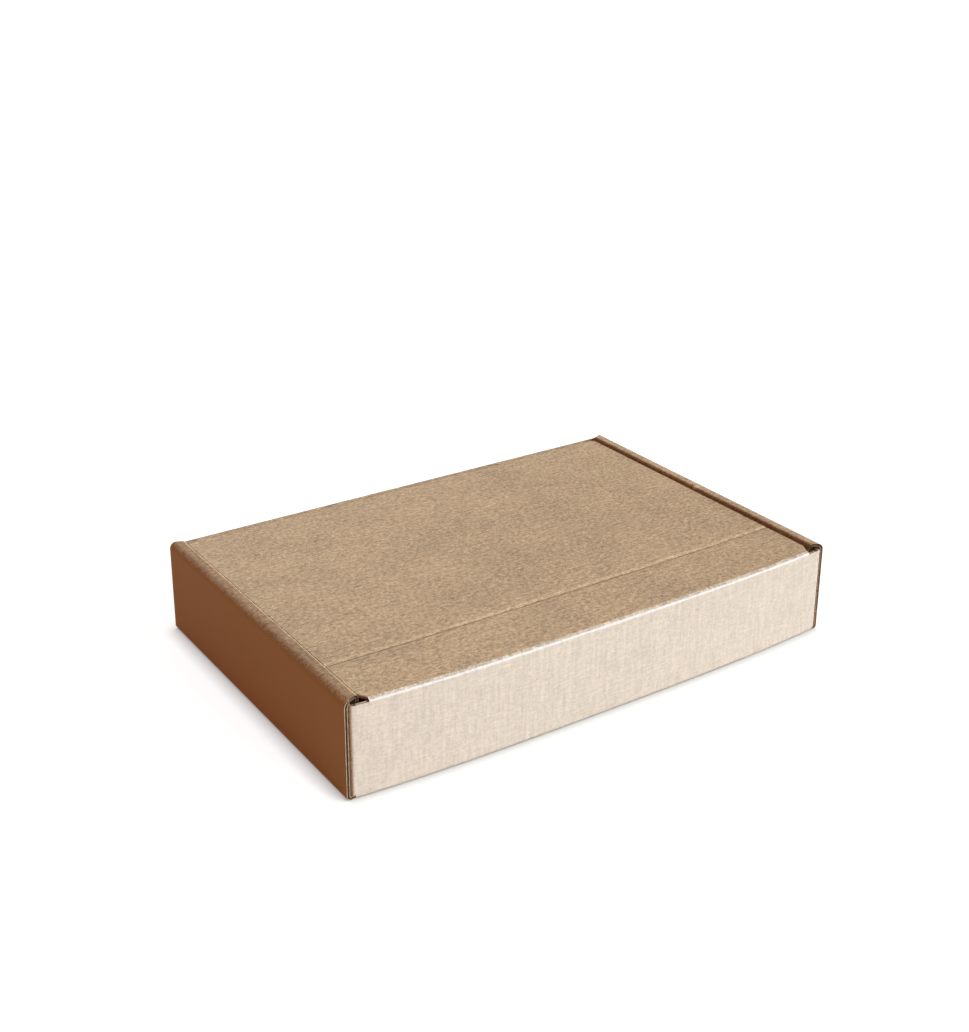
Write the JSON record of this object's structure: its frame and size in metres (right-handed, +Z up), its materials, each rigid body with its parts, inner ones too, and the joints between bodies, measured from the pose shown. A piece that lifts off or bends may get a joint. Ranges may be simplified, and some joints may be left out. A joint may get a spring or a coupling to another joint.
{
  "type": "postal box",
  "caption": "Low, closed corrugated kraft mailer with rolled double side walls, a hinged lid that sits between them and a tuck flap behind the front wall.",
  "frame": {"origin": "on the resting plane, under the middle of the box", "axes": "+X along the long side, -Y out of the hinge wall, +Y out of the front wall where the lid tucks in, +Z up"},
  "size_m": [0.305, 0.2068, 0.0536],
  "materials": {
    "kraft_tray": "matt natural kraft liner on corrugated board",
    "kraft_lid": "matt natural kraft liner on corrugated board"
  },
  "bodies": {
    "tray": {"tray": "kraft_tray"},
    "lid": {"lid": "kraft_lid"}
  },
  "joints": [
    {"name": "lid_hinge", "type": "hinge", "parent": "tray", "child": "lid", "pos_m": [0, -0.1056, 0.0518], "axis": [1, 0, 0], "range_deg": [0, 180]}
  ]
}
